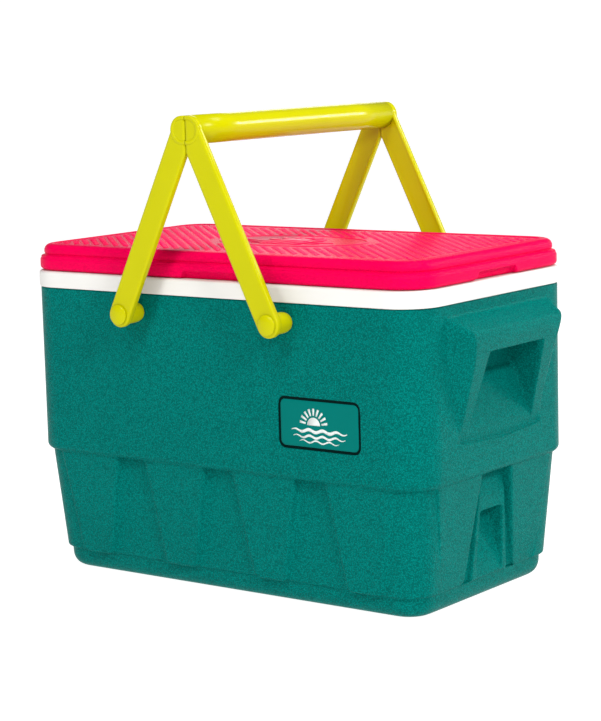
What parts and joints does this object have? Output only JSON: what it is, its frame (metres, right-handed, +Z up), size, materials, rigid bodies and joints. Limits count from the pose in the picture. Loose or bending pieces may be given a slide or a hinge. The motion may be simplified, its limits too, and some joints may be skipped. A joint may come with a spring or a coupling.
{
  "type": "insulated picnic chest",
  "caption": "Rectangular insulated picnic chest with a lift-off lid, moulded end handles and two swing-down bails that meet in one grip.",
  "frame": {"origin": "on the floor under the middle of the chest", "axes": "+X along the chest's length, +Y from the front wall, which carries the badge, to the back wall, +Z up"},
  "size_m": [0.5102, 0.324, 0.4524],
  "materials": {
    "shell_teal": "grained satin",
    "badge_teal": "smooth satin",
    "liner_white": "smooth satin",
    "foam": "foamed",
    "lid_pink": "grained satin",
    "handle_lime": "smooth satin",
    "retainer_grey": "plain"
  },
  "bodies": {
    "chest": {"outer_shell": "shell_teal", "liner": "liner_white", "body_foam": "foam", "badge_plate": "badge_teal", "pivot_pin_front_left": "handle_lime", "pivot_pin_front_right": "handle_lime", "pivot_pin_back_left": "handle_lime", "pivot_pin_back_right": "handle_lime", "pivot_hub_front_left": "handle_lime", "pivot_hub_front_right": "handle_lime", "pivot_hub_back_left": "handle_lime", "pivot_hub_back_right": "handle_lime", "pin_retainer_front_left": "retainer_grey", "pin_retainer_front_right": "retainer_grey", "pin_retainer_back_left": "retainer_grey", "pin_retainer_back_right": "retainer_grey"},
    "lid": {"lid_cover": "lid_pink", "lid_liner": "liner_white", "lid_foam": "foam"},
    "left_bail": {"handle_left": "handle_lime"},
    "right_bail": {"handle_right": "handle_lime"}
  },
  "joints": [
    {"name": "lid_lift", "type": "slide", "parent": "chest", "child": "lid", "axis": [0, 0, 1], "range_m": [0, 0.085]},
    {"name": "left_bail_swing", "type": "hinge", "parent": "chest", "child": "left_bail", "pos_m": [-0.088, 0, 0.266], "axis": [0, -1, 0], "range_deg": [0, 148]},
    {"name": "right_bail_swing", "type": "hinge", "parent": "chest", "child": "right_bail", "pos_m": [0.088, 0, 0.266], "axis": [0, 1, 0], "range_deg": [0, 148]}
  ]
}
